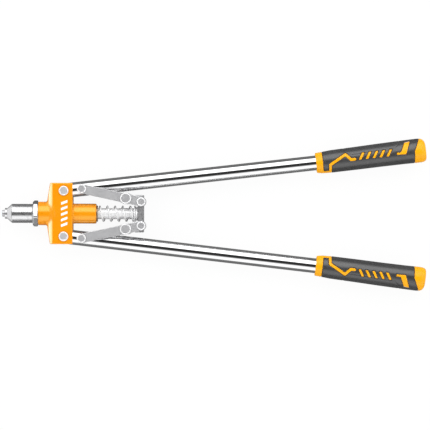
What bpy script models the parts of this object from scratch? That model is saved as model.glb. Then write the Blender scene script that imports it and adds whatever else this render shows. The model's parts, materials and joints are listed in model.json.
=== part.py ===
"""Long-arm hand riveter, built as an assembly of separate pieces.

The lengths below are in millimetres, and MM turns them into Blender's metres. Stations along the tool run
back from the nose tip, so X = 0 is the nozzle's face. Y points to the right-hand arm, and Z is up. The tool
lies on its side, as on a bench, with its arms closed. Each arm has its own frame: X along its tube from
the pivot, and Y away from the tool's centre line.
"""

import math

import bmesh
import bpy
from mathutils import Matrix, Vector

MM = 0.001
GAP = 0.3
EDGE = 0.4
BEYOND = 5.0
STEPS = 40
SMALL_STEPS = 24

# Driving dimensions.
TOOL_LENGTH = 429.85
AXIS_HEIGHT = 13.4
PIVOT = Vector((62.6, 23.1, 0.0))
ARM_ANGLE = math.radians(6.51)
CRANK = 18.1
CROSSHEAD_PIN = Vector((140.9, 12.2, 0.0))
SPACER_SHARE = 0.74

# Nose.
NOZZLE_HEX = 7.4
NOZZLE_HEAD_R = 4.1
NOZZLE_HEAD_END = 2.4
NOZZLE_END = 14.8
NOZZLE_SHANK_R = 3.5
NOZZLE_TAIL_FRONT = 9.6
NOZZLE_TAIL_R = 2.8
MANDREL_R = 2.05
SLEEVE_FRONT = 2.7
SLEEVE_BOSS_R = 6.0
SLEEVE_BOSS_END = 5.8
SLEEVE_CONE_END = 9.3
SLEEVE_R = 9.6
SLEEVE_GROOVE = (26.1, 26.7)
SLEEVE_GROOVE_DEPTH = 0.3
SLEEVE_REAR = 30.7
SLEEVE_SHANK_R = 8.9
SLEEVE_END = 45.5
SLEEVE_BORE_R = 7.3
SLEEVE_THREAD_END = 8.2
SLEEVE_BORE_FRONT = 9.8
NUT_FRONT = 31.1
NUT_REAR = 36.1
NUT_HEX = 24.0
NUT_TURN = math.radians(15.0)

# Head body.
COLLAR_FRONT = 36.4
COLLAR_R = 11.9
BLOCK_FRONT = 45.6
BLOCK_END_FRONT = 48.7
BLOCK_REAR = 71.7
BLOCK_HALF_WIDTH = 31.0
BLOCK_HALF_DEPTH = 11.9
FACE_FRONT = 51.4
SLOT_FRONT = 51.2
SLOT_INNER = 12.6
SLOT_HALF_DEPTH = 7.8
BARREL_R = 10.1
BARREL_END = 95.5
CASE_ROOM_END = 57.2
BUSH_FRONT = 84.0
BUSH_SEAT_R = 8.0
BUSH_FLANGE_R = 8.2
BUSH_END = 96.8

# Pull rod, jaws and crosshead.
ROD_R = 5.55
ROD_BORE_R = 2.6
ROD_FRONT = 46.5
ROD_END = 143.3
ROD_THREAD_R = 5.1
ROD_TAIL_R = 4.5
ROD_SHOULDER = 133.6
SPRING_POCKET_R = 3.9
SPRING_POCKET_END = 56.0
CASE_FRONT = 27.5
CASE_REAR = 53.0
CASE_R = 6.9
CASE_MOUTH_R = 3.2
CASE_BORE_R = 5.4
CASE_CONE_LENGTH = 14.0
CASE_NUT_HEX = 12.6
JAW_TIP = 26.0
JAW_REAR = 38.5
JAW_COUNT = 3
JAW_BORE_R = 0.9
PUSHER_FRONT = 38.9
PUSHER_END = 49.0
WASHER = (133.9, 135.0)
WASHER_R = 8.3
ROD_NUT_HEX = 14.0
CROSSHEAD_FRONT = 137.3
CROSSHEAD_REAR = 143.6
CROSSHEAD_HALF_WIDTH = 19.0
CROSSHEAD_HALF_DEPTH = 7.4
EAR_FRONT = 134.6
EAR_INNER = 8.7
NOTCH_HALF_WIDTH = 3.45
NOTCH_SHIFT = 0.65
SPRING_WIRE_R = 0.75
SPRING_COIL_R = 7.5
SPRING_PITCH = 7.35
SPRING_PHASE = math.radians(273.0)

# Links.
PLATE_INNER = 7.8
PLATE_THICKNESS = 3.0
LINK_HALF_WIDTH = 4.8
SPACER_BOSS_R = 5.8
PIN_R = 2.5
PIVOT_PIN_R = 3.0
PIVOT_HEAD_R = 4.8
PIVOT_FACE_R = 3.7
CLIP_THICKNESS = 0.5
HEAD_INNER = PLATE_INNER + PLATE_THICKNESS + GAP
HEAD_OUTER = 12.4
SPACER_R = 4.0
# Formed heads: radius at the plate, then at the top.
SPACER_HEAD = (5.3, 4.0)
CROSSHEAD_PIN_HEAD = (4.4, 2.9)
LINK_PIN_HEAD = (4.6, 3.2)

# Arms and grips.
TUBE_R = 7.5
TUBE_BORE_R = 5.9
TUBE_FRONT = -7.0
TUBE_END = 355.0
INSERT_R = 5.6
INSERT_END = 42.0
GRIP_FRONT = 256.8
GRIP_LENGTH = 111.9
CORE_R = 9.0
CORE_BORE_R = 7.8
CAP_DEPTH = 8.0
GRIP_RING = 32
# Stations of the grip's outside: distance from its front, then half sizes outwards, inwards and in depth.
GRIP_STATIONS = (
    (0.0, 9.6, 9.9, 9.8),
    (0.6, 10.0, 10.4, 10.2),
    (5.4, 10.3, 11.2, 10.8),
    (15.4, 11.2, 11.6, 11.6),
    (40.4, 11.8, 11.5, 12.0),
    (65.4, 12.5, 11.2, 12.4),
    (90.4, 13.0, 11.1, 12.7),
    (103.4, 13.2, 11.3, 12.8),
    (107.4, 12.9, 11.2, 12.5),
    (109.9, 11.5, 10.6, 11.4),
    (111.3, 9.6, 9.4, 9.8),
    (GRIP_LENGTH, 7.8, 8.2, 8.2),
)
GRIP_COLLAR = 6.8
CAP_BOUNDARY = ((99.3, -16.0), (100.4, 0.5), (107.8, 16.0))
# Centre line of the raised zigzag, from the strip on the inner side to its free end.
ZIGZAG = ((13.4, -11.6), (14.2, -3.7), (30.2, 4.9), (35.5, -0.9), (40.3, -0.8))
ZIGZAG_WIDTH = 3.0
INNER_STRIP_Y = -9.45
FLAG = ((82.0, 1.0), (86.3, 0.9), (90.9, 10.2), (96.4, 10.9), (91.2, -1.5), (81.9, -1.2))
BAR_COUNT = 5
BAR_FIRST = 46.4
BAR_PITCH = 7.0
BAR_WIDTH = 2.6
BAR_HALF_HEIGHT = 3.4
BAR_MIDDLE_Y = 1.6
BAR_LEAN = 1.8


# ---------------------------------------------------------------- scene and materials


def clear_scene():
    for obj in list(bpy.data.objects):
        bpy.data.objects.remove(obj)


def new_collection(name):
    found = bpy.data.collections.new(name)
    bpy.context.scene.collection.children.link(found)
    return found


def principled(name, colour, metallic, roughness):
    made = bpy.data.materials.new(name)
    made.use_nodes = True
    shader = made.node_tree.nodes["Principled BSDF"]
    shader.inputs["Base Color"].default_value = (*colour, 1.0)
    shader.inputs["Metallic"].default_value = metallic
    shader.inputs["Roughness"].default_value = roughness
    return made


clear_scene()
PARTS = new_collection("hand_riveter")
CUTTERS = new_collection("cutters")

ORANGE_PAINT = principled("orange_paint", (0.95, 0.42, 0.01), 0.0, 0.35)
CHROME = principled("chrome", (0.85, 0.86, 0.88), 1.0, 0.08)
DARK_CHROME = principled("nut_plating", (0.62, 0.63, 0.65), 1.0, 0.18)
ZINC = principled("zinc_plate", (0.62, 0.62, 0.64), 1.0, 0.35)
STEEL = principled("hard_steel", (0.42, 0.43, 0.45), 1.0, 0.3)
SPRING_STEEL = principled("spring_steel", (0.8, 0.81, 0.83), 1.0, 0.15)
BRONZE = principled("bush_bronze", (0.5, 0.33, 0.14), 1.0, 0.4)
ORANGE_PLASTIC = principled("orange_plastic", (0.97, 0.5, 0.02), 0.0, 0.4)
SOFT_GRIP = principled("soft_grip", (0.07, 0.07, 0.075), 0.0, 0.6)


def frame(name, place, turn, parent):
    """An empty that carries other pieces."""
    made = bpy.data.objects.new(name, None)
    PARTS.objects.link(made)
    made.parent = parent
    made.location = Vector(place) * MM
    made.rotation_euler = (0.0, 0.0, turn)
    return made


TOOL = frame("tool_axis", (-TOOL_LENGTH / 2, 0.0, AXIS_HEIGHT), 0.0, None)
TOOL_TURN = Matrix.Rotation(math.radians(90.0), 4, "Y")


# ---------------------------------------------------------------- shapes


def place(obj, parent, offset=(0.0, 0.0, 0.0), turn=None):
    """Puts obj in its parent's frame, at an offset in millimetres."""
    obj.parent = parent
    obj.matrix_local = Matrix.Translation(Vector(offset) * MM) @ (turn or Matrix.Identity(4))
    return obj


def add(name, data, parent, surface, offset=(0.0, 0.0, 0.0), turn=None):
    """Adds a piece, or a cutter where surface is None."""
    made = bpy.data.objects.new(name, data)
    if surface is None:
        CUTTERS.objects.link(made)
        made.hide_render = True
        made.display_type = "WIRE"
    else:
        PARTS.objects.link(made)
        data.materials.append(surface)
    return place(made, parent, offset, turn)


def turned(name, outer, inner, parent, surface, offset=(0.0, 0.0, 0.0), turn=TOOL_TURN, steps=STEPS):
    """A turned piece from (station, radius) outlines, front to rear; solid if inner is None."""
    closing = [(outer[0][0], 0.0), (outer[-1][0], 0.0)] if inner is None else list(inner)
    profile = list(reversed(outer)) + closing
    points = [(radius * MM, 0.0, station * MM) for station, radius in profile]
    count = len(points)
    edges = [(i, (i + 1) % count) for i in range(count)]
    if inner is None:
        edges.remove((count - 2, count - 1))
    data = bpy.data.meshes.new(name)
    data.from_pydata(points, edges, [])
    made = add(name, data, parent, surface, offset, turn)
    screw = made.modifiers.new("turn", "SCREW")
    screw.axis = "Z"
    screw.angle = math.tau
    screw.steps = steps
    screw.render_steps = steps
    screw.use_merge_vertices = True
    screw.merge_threshold = 0.00001
    screw.use_smooth_shade = True
    return made


def boolean(obj, operation, other):
    made = obj.modifiers.new(operation.lower(), "BOOLEAN")
    made.operation = operation
    made.solver = "EXACT"
    made.object = other
    return obj


def mesh_from(name, build):
    data = bpy.data.meshes.new(name)
    work = bmesh.new()
    build(work)
    bmesh.ops.recalc_face_normals(work, faces=work.faces)
    work.to_mesh(data)
    work.free()
    return data


def flat_curve(name, outlines, thickness):
    """A filled curve from closed outlines, the outside first and then its holes."""
    data = bpy.data.curves.new(name, "CURVE")
    data.dimensions = "2D"
    data.fill_mode = "BOTH"
    data.extrude = thickness / 2 * MM
    for outline in outlines:
        spline = data.splines.new("POLY")
        spline.points.add(len(outline) - 1)
        for point, (x, y) in zip(spline.points, outline):
            point.co = (x * MM, y * MM, 0.0, 1.0)
        spline.use_cyclic_u = True
    return data


def prism(name, outline, low, high, parent, surface=None):
    """A flat outline's solid from low to high along Z, as a mesh that a Boolean can use."""
    drawn = bpy.data.objects.new(name, flat_curve(name, [outline], high - low))
    bpy.context.scene.collection.objects.link(drawn)
    bpy.context.view_layer.update()
    data = bpy.data.meshes.new_from_object(drawn.evaluated_get(bpy.context.evaluated_depsgraph_get()))
    bpy.data.objects.remove(drawn)
    data.transform(Matrix.Translation((0.0, 0.0, (low + high) / 2 * MM)))
    work = bmesh.new()
    work.from_mesh(data)
    bmesh.ops.remove_doubles(work, verts=work.verts, dist=0.000001)
    work.to_mesh(data)
    work.free()
    return add(name, data, parent, surface)


def box_outline(x_low, x_high, y_low, y_high):
    return [(x_low, y_low), (x_high, y_low), (x_high, y_high), (x_low, y_high)]


def round_cutter(name, place_at, radius, parent):
    """A cylinder along Z that cuts a pin's hole."""
    reach = BLOCK_HALF_DEPTH + 4.0

    def build(work):
        bmesh.ops.create_cone(
            work,
            cap_ends=True,
            segments=SMALL_STEPS,
            radius1=radius * MM,
            radius2=radius * MM,
            depth=2 * reach * MM,
        )

    return add(name, mesh_from(name, build), parent, None, place_at)


def make_hexagonal(obj, across_flats, turn=0.0):
    """Cuts a turned piece to a hexagon wherever it is wider than the flats."""
    name = f"{obj.name}_hexagon"

    def build(work):
        bmesh.ops.create_cone(
            work,
            cap_ends=True,
            segments=6,
            radius1=across_flats / math.sqrt(3) * MM,
            radius2=across_flats / math.sqrt(3) * MM,
            depth=3 * TOOL_LENGTH * MM,
        )

    cutter = add(name, mesh_from(name, build), obj.parent, None)
    cutter.matrix_local = TOOL_TURN @ Matrix.Rotation(turn, 4, "Z")
    return boolean(obj, "INTERSECT", cutter)


def arc(centre, radius, start, end, count):
    """Points on a circle, both ends included; the angles are in degrees."""
    angles = [math.radians(start + (end - start) * i / count) for i in range(count + 1)]
    return [(centre[0] + radius * math.cos(a), centre[1] + radius * math.sin(a)) for a in angles]


def coil_spring(name, start, end, coil_r, wire_r, pitch, parent, surface, phase=0.0, per_turn=14):
    """A compression spring along X with a closed coil at each end."""
    closed_pitch = 2 * wire_r + GAP
    active = (end - start - 2 * closed_pitch) / pitch
    turns = active + 2.0
    count = round(turns * per_turn)
    data = bpy.data.curves.new(name, "CURVE")
    data.dimensions = "3D"
    data.bevel_depth = wire_r * MM
    data.bevel_resolution = 2
    data.use_fill_caps = True
    spline = data.splines.new("POLY")
    spline.points.add(count)
    for i, point in enumerate(spline.points):
        turn = turns * i / count
        x = start + closed_pitch * min(turn, 1.0)
        x += pitch * min(max(turn - 1.0, 0.0), active)
        x += closed_pitch * max(turn - 1.0 - active, 0.0)
        angle = phase + turn * math.tau
        point.co = (x * MM, coil_r * math.cos(angle) * MM, coil_r * math.sin(angle) * MM, 1.0)
    return add(name, data, parent, surface)


# ---------------------------------------------------------------- head


def chamfer_block(work):
    """The head's block, narrower towards its ends at the front, with sloped front edges."""
    size = ((BLOCK_REAR - BLOCK_FRONT), 2 * BLOCK_HALF_WIDTH, 2 * BLOCK_HALF_DEPTH)
    middle = Vector(((BLOCK_REAR + BLOCK_FRONT) / 2, 0.0, 0.0)) * MM
    bmesh.ops.create_cube(work, size=1.0)
    bmesh.ops.scale(work, verts=work.verts, vec=[s * MM for s in size])
    bmesh.ops.translate(work, verts=work.verts, vec=middle)
    shoulder = COLLAR_R + 1.0
    chamfer = 4.0
    run = Vector((BLOCK_END_FRONT - BLOCK_FRONT, BLOCK_HALF_WIDTH - shoulder, 0.0))
    slope = Vector((chamfer, 0.0, chamfer))
    cuts = []
    for side in (1, -1):
        cuts.append(((BLOCK_FRONT, side * shoulder, 0.0), (-run.y, side * run.x, 0.0)))
        cuts.append(((FACE_FRONT, 0.0, side * BLOCK_HALF_DEPTH), (-slope.z, 0.0, side * slope.x)))
    for point, normal in cuts:
        geometry = list(work.verts) + list(work.edges) + list(work.faces)
        cut = bmesh.ops.bisect_plane(
            work,
            geom=geometry,
            plane_co=Vector(point) * MM,
            plane_no=Vector(normal).normalized(),
            clear_outer=True,
        )
        rim = [g for g in cut["geom_cut"] if isinstance(g, bmesh.types.BMEdge)]
        bmesh.ops.contextual_create(work, geom=rim)


def head_body():
    body = add("head_body", mesh_from("head_body", chamfer_block), TOOL, ORANGE_PAINT)
    spine = [
        (COLLAR_FRONT, COLLAR_R - EDGE),
        (COLLAR_FRONT + EDGE, COLLAR_R),
        (FACE_FRONT - GAP, COLLAR_R),
        (FACE_FRONT + 6.0, BARREL_R),
        (BARREL_END - 4 * EDGE, BARREL_R),
        (BARREL_END - EDGE, BARREL_R - EDGE),
        (BARREL_END, BARREL_R - 4 * EDGE),
    ]
    boolean(body, "UNION", turned("head_spine", spine, None, TOOL, None))
    for side in (1, -1):
        outline = box_outline(SLOT_FRONT, BLOCK_REAR + BEYOND, SLOT_INNER, BLOCK_HALF_WIDTH + BEYOND)
        outline = [(x, side * y) for x, y in outline]
        slot = prism(f"head_slot_{side}", outline, -SLOT_HALF_DEPTH, SLOT_HALF_DEPTH, TOOL)
        boolean(body, "DIFFERENCE", slot)
        centre = (PIVOT.x, side * PIVOT.y, 0.0)
        boolean(body, "DIFFERENCE", round_cutter(f"head_hole_{side}", centre, PIVOT_PIN_R + GAP, TOOL))
    bores = [
        (COLLAR_FRONT - BEYOND, SLEEVE_SHANK_R + GAP),
        (SLEEVE_END + 1.5, SLEEVE_SHANK_R + GAP),
        (SLEEVE_END + 1.5, CASE_R + 2 * GAP),
        (CASE_ROOM_END, CASE_R + 2 * GAP),
        (CASE_ROOM_END, ROD_R + GAP),
        (BUSH_FRONT, ROD_R + GAP),
        (BUSH_FRONT, BUSH_SEAT_R),
        (BARREL_END + BEYOND, BUSH_SEAT_R),
    ]
    boolean(body, "DIFFERENCE", turned("head_bores", bores, None, TOOL, None))


def pivot_pins(side, label):
    """The headed pin that an arm turns on, and the ring that keeps it in at the back."""
    centre = (PIVOT.x, side * PIVOT.y, 0.0)
    face = BLOCK_HALF_DEPTH + GAP
    groove_r = PIVOT_PIN_R - 0.8
    outline = [
        (-AXIS_HEIGHT, PIVOT_PIN_R - EDGE),
        (-AXIS_HEIGHT + EDGE / 2, PIVOT_PIN_R),
        (-face - CLIP_THICKNESS - GAP, PIVOT_PIN_R),
        (-face - CLIP_THICKNESS - GAP, groove_r),
        (-face + GAP / 3, groove_r),
        (-face + GAP / 3, PIVOT_PIN_R),
        (face, PIVOT_PIN_R),
        (face, PIVOT_HEAD_R),
        (face + GAP, PIVOT_HEAD_R),
        (AXIS_HEIGHT, PIVOT_FACE_R),
    ]
    turned(f"pivot_pin_{label}", outline, None, TOOL, ZINC, centre, Matrix.Identity(4), SMALL_STEPS)
    mouth = 32.0
    inner = arc((0.0, 0.0), groove_r + GAP, mouth, 360.0 - mouth, 16)
    outer = arc((0.0, 0.0), PIVOT_PIN_R + 1.9, 360.0 - mouth, mouth, 16)
    ring_place = (PIVOT.x, side * PIVOT.y, -face - (CLIP_THICKNESS + GAP / 2) / 2)
    turn = Matrix.Rotation(0.0 if side > 0 else math.pi, 4, "Z")
    clip = f"pivot_clip_{label}"
    add(clip, flat_curve(clip, [inner + outer], CLIP_THICKNESS), TOOL, STEEL, ring_place, turn)


def nose():
    """The nozzle, the sleeve that it screws into, and the nut that locks the sleeve."""
    nozzle_outer = [
        (0.0, NOZZLE_HEAD_R - EDGE),
        (EDGE, NOZZLE_HEAD_R),
        (NOZZLE_HEAD_END, NOZZLE_HEAD_R),
        (NOZZLE_HEAD_END, NOZZLE_SHANK_R),
        (NOZZLE_TAIL_FRONT - EDGE, NOZZLE_SHANK_R),
        (NOZZLE_TAIL_FRONT, NOZZLE_TAIL_R),
        (NOZZLE_END - EDGE, NOZZLE_TAIL_R),
        (NOZZLE_END, NOZZLE_TAIL_R - EDGE),
    ]
    bore = [(0.0, MANDREL_R + EDGE / 2), (EDGE, MANDREL_R), (NOZZLE_END, MANDREL_R)]
    nozzle = turned("nozzle", nozzle_outer, bore, TOOL, STEEL, steps=SMALL_STEPS)
    make_hexagonal(nozzle, NOZZLE_HEX)
    groove_front, groove_rear = SLEEVE_GROOVE
    groove_r = SLEEVE_R - SLEEVE_GROOVE_DEPTH
    sleeve_outer = [
        (SLEEVE_FRONT, SLEEVE_BOSS_R - EDGE),
        (SLEEVE_FRONT + EDGE, SLEEVE_BOSS_R),
        (SLEEVE_BOSS_END, SLEEVE_BOSS_R),
        (SLEEVE_CONE_END, SLEEVE_R),
        (groove_front - SLEEVE_GROOVE_DEPTH, SLEEVE_R),
        (groove_front, groove_r),
        (groove_rear, groove_r),
        (groove_rear + SLEEVE_GROOVE_DEPTH, SLEEVE_R),
        (SLEEVE_REAR - EDGE, SLEEVE_R),
        (SLEEVE_REAR, SLEEVE_R - EDGE),
        (SLEEVE_REAR, SLEEVE_SHANK_R),
        (SLEEVE_END, SLEEVE_SHANK_R),
    ]
    sleeve_inner = [
        (SLEEVE_FRONT, NOZZLE_SHANK_R + GAP),
        (SLEEVE_THREAD_END, NOZZLE_SHANK_R + GAP),
        (SLEEVE_BORE_FRONT, SLEEVE_BORE_R),
        (SLEEVE_END, SLEEVE_BORE_R),
    ]
    turned("nose_sleeve", sleeve_outer, sleeve_inner, TOOL, CHROME)
    corner = NUT_HEX / math.sqrt(3)
    nut_outer = [
        (NUT_FRONT, corner - 1.5),
        (NUT_FRONT + 0.5, corner - 0.6),
        (NUT_FRONT + 1.6, corner + GAP),
        (NUT_REAR, corner + GAP),
    ]
    nut_r = SLEEVE_SHANK_R + GAP
    nut_inner = [(NUT_FRONT, nut_r), (NUT_REAR, nut_r)]
    nut = turned("sleeve_lock_nut", nut_outer, nut_inner, TOOL, DARK_CHROME)
    make_hexagonal(nut, NUT_HEX, NUT_TURN)


def barrel_bush():
    flange_front = BARREL_END + GAP
    outer = [
        (BUSH_FRONT + GAP, BUSH_SEAT_R - GAP),
        (flange_front, BUSH_SEAT_R - GAP),
        (flange_front, BUSH_FLANGE_R),
        (BUSH_END, BUSH_FLANGE_R),
    ]
    inner = [(BUSH_FRONT + GAP, ROD_R + GAP), (BUSH_END, ROD_R + GAP)]
    turned("barrel_bush", outer, inner, TOOL, BRONZE)


# ---------------------------------------------------------------- pull rod and jaws


def pull_rod():
    outer = [
        (ROD_FRONT, ROD_THREAD_R - EDGE),
        (ROD_FRONT + EDGE, ROD_THREAD_R),
        (CASE_ROOM_END - EDGE, ROD_THREAD_R),
        (CASE_ROOM_END, ROD_R),
        (ROD_SHOULDER, ROD_R),
        (ROD_SHOULDER, ROD_TAIL_R),
        (ROD_END - EDGE, ROD_TAIL_R),
        (ROD_END, ROD_TAIL_R - EDGE),
    ]
    inner = [
        (ROD_FRONT, SPRING_POCKET_R),
        (SPRING_POCKET_END, SPRING_POCKET_R),
        (SPRING_POCKET_END, ROD_BORE_R),
        (ROD_END, ROD_BORE_R),
    ]
    turned("pull_rod", outer, inner, TOOL, CHROME, steps=32)
    hole_r = ROD_TAIL_R + GAP
    front, rear = WASHER
    washer_hole = [(front, hole_r), (rear, hole_r)]
    turned("spring_washer", [(front, WASHER_R), (rear, WASHER_R)], washer_hole, TOOL, CHROME)
    front, rear = rear + GAP, CROSSHEAD_FRONT - GAP
    corner = ROD_NUT_HEX / math.sqrt(3)
    nut = [(front, corner - EDGE), (front + EDGE, corner), (rear, corner)]
    rod_nut = turned("rod_lock_nut", nut, [(front, hole_r), (rear, hole_r)], TOOL, CHROME, steps=32)
    make_hexagonal(rod_nut, ROD_NUT_HEX)


def jaw_case():
    outer = [(CASE_FRONT, CASE_R - 2 * EDGE), (CASE_FRONT + 2 * EDGE, CASE_R), (CASE_REAR, CASE_R)]
    cone_end = CASE_FRONT + CASE_CONE_LENGTH
    inner = [(CASE_FRONT, CASE_MOUTH_R), (cone_end, CASE_BORE_R), (CASE_REAR, CASE_BORE_R)]
    turned("jaw_case", outer, inner, TOOL, STEEL, steps=32)
    front, rear = CASE_REAR + GAP, CASE_REAR + 3.4
    nut = [(front, CASE_R - EDGE), (front + EDGE, CASE_R), (rear, CASE_R)]
    nut_bore = [(front, ROD_THREAD_R + GAP), (rear, ROD_THREAD_R + GAP)]
    case_nut = turned("jaw_case_nut", nut, nut_bore, TOOL, STEEL, steps=SMALL_STEPS)
    make_hexagonal(case_nut, CASE_NUT_HEX)


def cone_radius(station):
    """The jaw case's inner radius at a station on its cone."""
    return CASE_MOUTH_R + (station - CASE_FRONT) * (CASE_BORE_R - CASE_MOUTH_R) / CASE_CONE_LENGTH


def jaws():
    """Three wedge-shaped jaws, each a sector of one tapered ring."""
    play = 0.35
    outer = [
        (JAW_TIP, cone_radius(CASE_FRONT) - play - EDGE),
        (JAW_TIP + EDGE, cone_radius(CASE_FRONT) - play),
        (CASE_FRONT, cone_radius(CASE_FRONT) - play),
        (JAW_REAR, cone_radius(JAW_REAR) - play),
    ]
    flare = 1.2
    inner = [(JAW_TIP, JAW_BORE_R), (JAW_REAR - flare, JAW_BORE_R), (JAW_REAR, JAW_BORE_R + flare)]
    reach = CASE_R
    for number in range(JAW_COUNT):
        middle = math.tau * number / JAW_COUNT
        jaw = turned(f"jaw_{number + 1}", outer, inner, TOOL, STEEL, steps=SMALL_STEPS)
        half = math.radians(180.0 / JAW_COUNT)
        start = GAP / math.sin(half)
        wedge = [
            (start, 0.0),
            (start + reach * math.cos(half), reach * math.sin(half)),
            (start + 2 * reach, reach * math.sin(half)),
            (start + 2 * reach, -reach * math.sin(half)),
            (start + reach * math.cos(half), -reach * math.sin(half)),
        ]
        cutter = prism(f"jaw_wedge_{number + 1}", wedge, JAW_TIP - BEYOND, JAW_REAR + BEYOND, TOOL)
        cutter.matrix_local = Matrix.Rotation(middle, 4, "X") @ TOOL_TURN
        boolean(jaw, "INTERSECT", cutter)


def jaw_pusher():
    flange = 4.6
    flange_end = PUSHER_FRONT + 2.1
    stem = 2.7
    outer = [
        (PUSHER_FRONT, flange - EDGE),
        (PUSHER_FRONT + EDGE, flange),
        (flange_end, flange),
        (flange_end, stem),
        (PUSHER_END, stem),
    ]
    inner = [(PUSHER_FRONT, MANDREL_R), (PUSHER_END, MANDREL_R)]
    turned("jaw_pusher", outer, inner, TOOL, STEEL, steps=SMALL_STEPS)
    wire = 0.35
    coil_r = (stem + SPRING_POCKET_R) / 2
    start = flange_end + GAP + wire
    end = SPRING_POCKET_END - GAP - wire
    coil_spring("jaw_spring", start, end, coil_r, wire, 1.9, TOOL, SPRING_STEEL, per_turn=10)


def crosshead():
    """The yoke that both links pull, with a notch open to the rear round each link's pin."""
    corner = 1.5
    half = [
        (CROSSHEAD_FRONT, 0.0),
        (CROSSHEAD_FRONT, EAR_INNER - 2 * EDGE),
        (EAR_FRONT, EAR_INNER),
        (EAR_FRONT, CROSSHEAD_HALF_WIDTH - corner),
        (EAR_FRONT + corner, CROSSHEAD_HALF_WIDTH),
        (CROSSHEAD_REAR, CROSSHEAD_HALF_WIDTH),
    ]
    notch_middle = (CROSSHEAD_PIN.x + EDGE, CROSSHEAD_PIN.y + NOTCH_SHIFT)
    notch = arc(notch_middle, NOTCH_HALF_WIDTH, 90.0, 270.0, 12)
    notch = [(CROSSHEAD_REAR, notch[0][1])] + notch + [(CROSSHEAD_REAR, notch[-1][1])]
    half += notch
    outline = half + [(x, -y) for x, y in reversed(half) if y > 0]
    bar = prism("crosshead", outline, -CROSSHEAD_HALF_DEPTH, CROSSHEAD_HALF_DEPTH, TOOL, ZINC)
    hole = [(x, ROD_TAIL_R + GAP) for x in (CROSSHEAD_FRONT - BEYOND, CROSSHEAD_REAR + BEYOND)]
    boolean(bar, "DIFFERENCE", turned("crosshead_hole", hole, None, TOOL, None, steps=SMALL_STEPS))


def return_spring():
    start = BUSH_END + GAP + SPRING_WIRE_R
    end = WASHER[0] - GAP - SPRING_WIRE_R
    coil_spring(
        "return_spring",
        start,
        end,
        SPRING_COIL_R,
        SPRING_WIRE_R,
        SPRING_PITCH,
        TOOL,
        SPRING_STEEL,
        SPRING_PHASE,
    )


# ---------------------------------------------------------------- links


def link_outline(length):
    """The outside of a link plate, with a round boss where the spacer is riveted."""
    boss = SPACER_SHARE * length
    rise = math.degrees(math.asin(LINK_HALF_WIDTH / SPACER_BOSS_R))
    return (
        arc((0.0, 0.0), LINK_HALF_WIDTH, 90.0, 270.0, 12)
        + arc((boss, 0.0), SPACER_BOSS_R, 360.0 - (180.0 - rise), 360.0 - rise, 5)
        + arc((length, 0.0), LINK_HALF_WIDTH, -90.0, 90.0, 12)
        + arc((boss, 0.0), SPACER_BOSS_R, rise, 180.0 - rise, 5)
    )


def rivet(name, centre, head, parent, shoulder_r=None):
    """A pin with a formed head at each end; a shoulder holds the two plates apart."""
    base_r, top_r = head
    ends = [(HEAD_OUTER, top_r), (HEAD_INNER + GAP, base_r), (HEAD_INNER, base_r), (HEAD_INNER, PIN_R)]
    outline = [(-z, r) for z, r in ends]
    if shoulder_r:
        edge = PLATE_INNER - GAP
        outline += [(-edge, PIN_R), (-edge, shoulder_r), (edge, shoulder_r), (edge, PIN_R)]
    outline += list(reversed(ends))
    turned(name, outline, None, parent, ZINC, centre, Matrix.Identity(4), SMALL_STEPS)


def link(side, label, arm):
    """Two plates, the spacer riveted between them, and the pin that enters the crosshead."""
    crank = Vector((PIVOT.x + CRANK * math.cos(ARM_ANGLE), PIVOT.y + CRANK * math.sin(ARM_ANGLE), 0.0))
    run = CROSSHEAD_PIN - crank
    angle = math.atan2(run.y, run.x)
    link_frame = frame(f"link_frame_{label}", (crank.x, side * crank.y, 0.0), side * angle, TOOL)
    length = run.length
    holes = [
        arc((x, 0.0), PIN_R + GAP, 0.0, 360.0 - 360.0 / 16, 15)
        for x in (0.0, SPACER_SHARE * length, length)
    ]
    for level, name in ((1, "top"), (-1, "back")):
        height = level * (PLATE_INNER + PLATE_THICKNESS / 2)
        outlines = [link_outline(length)] + holes
        piece = f"link_plate_{name}_{label}"
        add(piece, flat_curve(piece, outlines, PLATE_THICKNESS), link_frame, ZINC, (0.0, 0.0, height))
    spacer_at = (SPACER_SHARE * length, 0.0, 0.0)
    rivet(f"link_spacer_{label}", spacer_at, SPACER_HEAD, link_frame, SPACER_R)
    rivet(f"crosshead_pin_{label}", (length, 0.0, 0.0), CROSSHEAD_PIN_HEAD, link_frame)
    rivet(f"link_pin_{label}", (CRANK, 0.0, 0.0), LINK_PIN_HEAD, arm)


# ---------------------------------------------------------------- arms and grips


def grip_mesh(name, side):
    """The grip's outside, lofted through its stations."""

    def build(work):
        rings = []
        for station, outward, inward, depth in GRIP_STATIONS:
            ring = []
            for i in range(GRIP_RING):
                angle = math.tau * i / GRIP_RING
                reach = outward if math.cos(angle) > 0 else inward
                y = side * reach * math.cos(angle)
                z = depth * math.sin(angle)
                ring.append(work.verts.new(((GRIP_FRONT + station) * MM, y * MM, z * MM)))
            rings.append(ring)
        for first, second in zip(rings, rings[1:]):
            for i in range(GRIP_RING):
                j = (i + 1) % GRIP_RING
                work.faces.new((first[i], first[j], second[j], second[i]))
        work.faces.new(rings[0])
        work.faces.new(rings[-1])

    return mesh_from(name, build)


def stroke(points, width, extend):
    """The outline of a bent band of constant width, its ends lengthened by extend."""
    line = [Vector(p) for p in points]
    first = (line[0] - line[1]).normalized() * extend
    last = (line[-1] - line[-2]).normalized() * extend
    line[0] = line[0] + first
    line[-1] = line[-1] + last
    left = []
    right = []
    for i, point in enumerate(line):
        before = (point - line[i - 1]).normalized() if i else (line[1] - point).normalized()
        after = (line[i + 1] - point).normalized() if i < len(line) - 1 else before
        normal = Vector((-(before + after).y, (before + after).x)).normalized()
        reach = width / 2 / max(0.5, normal.dot(Vector((-before.y, before.x))))
        left.append(tuple(point + normal * reach))
        right.append(tuple(point - normal * reach))
    return left + list(reversed(right))


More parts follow.
